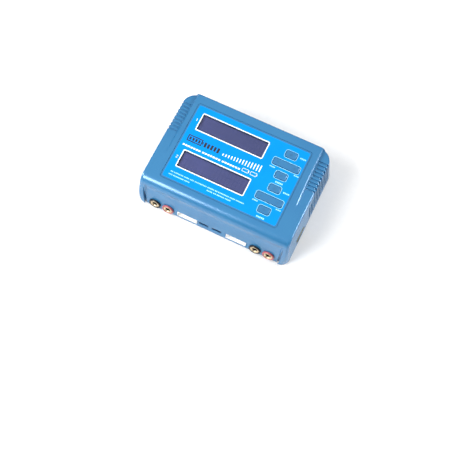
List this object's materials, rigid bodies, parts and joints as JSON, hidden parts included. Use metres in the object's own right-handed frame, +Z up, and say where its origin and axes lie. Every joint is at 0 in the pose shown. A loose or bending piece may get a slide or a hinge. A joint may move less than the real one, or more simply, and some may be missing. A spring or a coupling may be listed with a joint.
{
  "type": "balance battery charger",
  "caption": "Bench charger for model batteries: sloped blue case, printed top panel with displays and keys, banana sockets and balance ports along the front, side vents and a cooling fan.",
  "frame": {"origin": "under the middle of the case, on the plane the feet stand on", "axes": "+X to the charger's right along its longest side, +Y to its back, +Z up; the sockets face -Y"},
  "size_m": [0.1518, 0.108, 0.043],
  "materials": {
    "case_blue": "satin, fine metallic pigment",
    "label_azure": "satin printed film",
    "window_clear": "clear, glossy",
    "display_violet": "glossy, unlit display glass",
    "bezel_black": "satin",
    "board_green": "solder mask",
    "black_plastic": "fine texture",
    "red_plastic": "satin",
    "white_nylon": "satin",
    "yellow_nylon": "satin",
    "gold": "gold plated",
    "tin": "tin plated",
    "steel": "zinc plated",
    "aluminium": "extruded",
    "rubber": "matt",
    "ferrite": "matt ferrite and tape",
    "sleeve": "shrink sleeve"
  },
  "bodies": {
    "case": {"ac_inlet_body": "black_plastic", "ac_inlet_pins": "tin", "balance_pins_left": "tin", "balance_pins_right": "tin", "balance_port_left": "white_nylon", "balance_port_right": "white_nylon", "banana_body_left_black": "black_plastic", "banana_body_left_red": "red_plastic", "banana_body_right_black": "black_plastic", "banana_body_right_red": "red_plastic", "banana_contact_left_black": "gold", "banana_contact_left_red": "gold", "banana_contact_right_black": "gold", "banana_contact_right_red": "gold", "bottom_cover": "black_plastic", "capacitor_1": "sleeve", "capacitor_2": "sleeve", "case_screw_1": "steel", "case_screw_2": "steel", "case_screw_3": "steel", "case_screw_4": "steel", "control_board": "board_green", "dc_inlet_body": "yellow_nylon", "dc_inlet_pin_minus": "gold", "dc_inlet_pin_plus": "gold", "display_glass_lower": "display_violet", "display_glass_upper": "display_violet", "display_module_lower": "bezel_black", "display_module_upper": "bezel_black", "display_window_lower": "window_clear", "display_window_upper": "window_clear", "fan_frame": "black_plastic", "foot_1": "rubber", "foot_2": "rubber", "foot_3": "rubber", "foot_4": "rubber", "heat_sink": "aluminium", "inductor": "ferrite", "label_overlay": "label_azure", "output_board": "board_green", "power_board": "board_green", "sensor_port_left": "black_plastic", "sensor_port_right": "black_plastic", "switch_enter_lower": "bezel_black", "switch_enter_upper": "bezel_black", "switch_minus_lower": "bezel_black", "switch_minus_upper": "bezel_black", "switch_plus_lower": "bezel_black", "switch_plus_upper": "bezel_black", "switch_stop_lower": "bezel_black", "switch_stop_upper": "bezel_black", "top_shell": "case_blue", "transformer": "ferrite"},
    "key_stop_upper": {"key_stop_upper": "case_blue"},
    "key_rocker_upper": {"key_rocker_upper": "case_blue"},
    "key_enter_upper": {"key_enter_upper": "case_blue"},
    "key_stop_lower": {"key_stop_lower": "case_blue"},
    "key_rocker_lower": {"key_rocker_lower": "case_blue"},
    "key_enter_lower": {"key_enter_lower": "case_blue"},
    "fan_rotor": {"fan_rotor": "black_plastic"}
  },
  "joints": [
    {"name": "key_stop_upper_press", "type": "slide", "parent": "case", "child": "key_stop_upper", "axis": [0, 0, -1], "range_m": [0, 0.0005], "stiffness_N_per_m": 1500, "springref_m": -0.0007},
    {"name": "key_rocker_upper_rock", "type": "hinge", "parent": "case", "child": "key_rocker_upper", "pos_m": [0.0392, 0.0207, 0.0395], "axis": [0, 1, 0], "range_deg": [-2.5, 2.5], "stiffness_Nm_per_rad": 0.3},
    {"name": "key_enter_upper_press", "type": "slide", "parent": "case", "child": "key_enter_upper", "axis": [0, 0, -1], "range_m": [0, 0.0005], "stiffness_N_per_m": 1500, "springref_m": -0.0007},
    {"name": "key_stop_lower_press", "type": "slide", "parent": "case", "child": "key_stop_lower", "axis": [0, 0, -1], "range_m": [0, 0.0005], "stiffness_N_per_m": 1500, "springref_m": -0.0007},
    {"name": "key_rocker_lower_rock", "type": "hinge", "parent": "case", "child": "key_rocker_lower", "pos_m": [0.0392, -0.0149, 0.0395], "axis": [0, 1, 0], "range_deg": [-2.5, 2.5], "stiffness_Nm_per_rad": 0.3},
    {"name": "key_enter_lower_press", "type": "slide", "parent": "case", "child": "key_enter_lower", "axis": [0, 0, -1], "range_m": [0, 0.0005], "stiffness_N_per_m": 1500, "springref_m": -0.0007},
    {"name": "fan_spin", "type": "hinge", "parent": "case", "child": "fan_rotor", "pos_m": [0.0646, 0.0182, 0.0202], "axis": [1, 0, 0], "continuous": true}
  ]
}
